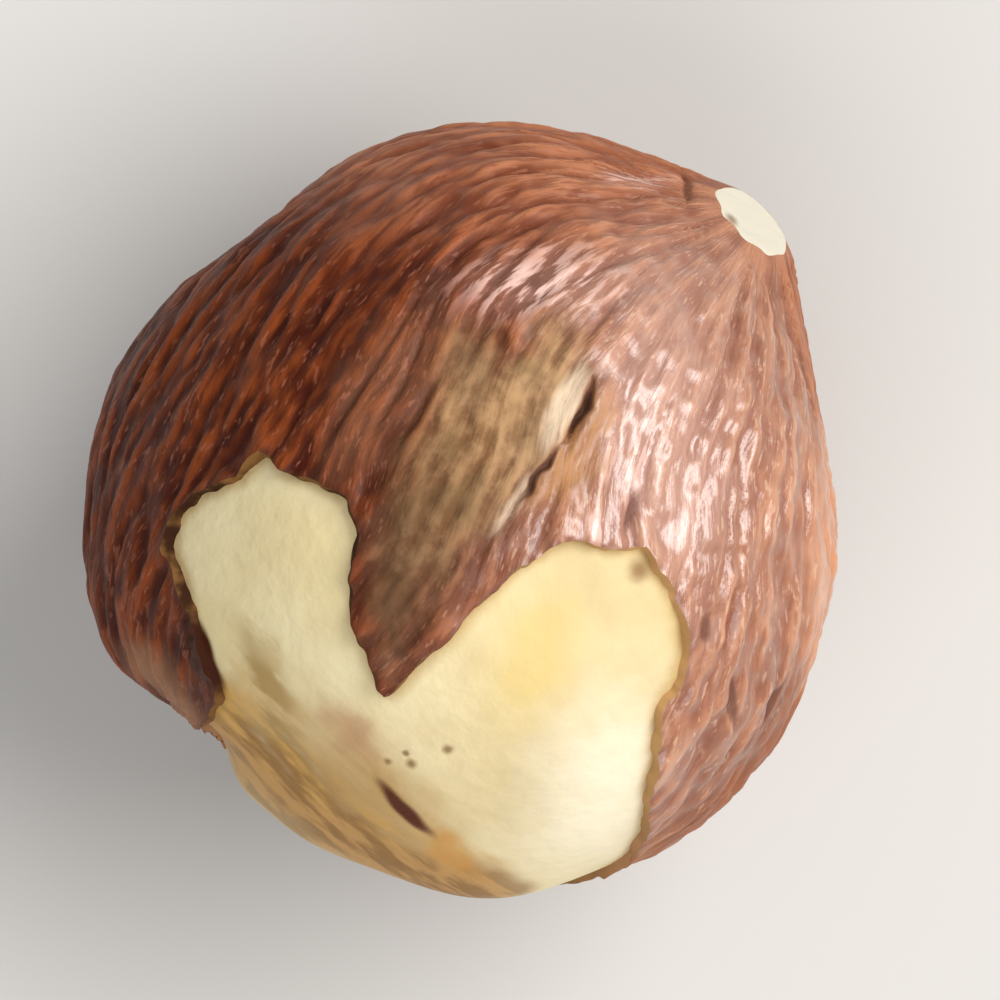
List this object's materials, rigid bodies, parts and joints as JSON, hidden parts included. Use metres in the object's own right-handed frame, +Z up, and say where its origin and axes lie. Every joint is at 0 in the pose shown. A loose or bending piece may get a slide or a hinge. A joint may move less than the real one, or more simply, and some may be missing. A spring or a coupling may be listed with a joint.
{
  "type": "shelled hazelnut",
  "caption": "Whole hazelnut kernel in its thin furrowed skin, with the skin torn open at the blunt end, lying on its side.",
  "frame": {"origin": "middle of the small flat spot that the kernel rests on", "axes": "+X towards the tip, +Y towards the kernel's left side, +Z up"},
  "size_m": [0.0148, 0.0143, 0.0131],
  "materials": {
    "skin": "satin"
  },
  "bodies": {
    "root": {"kernel": "skin"}
  },
  "joints": []
}
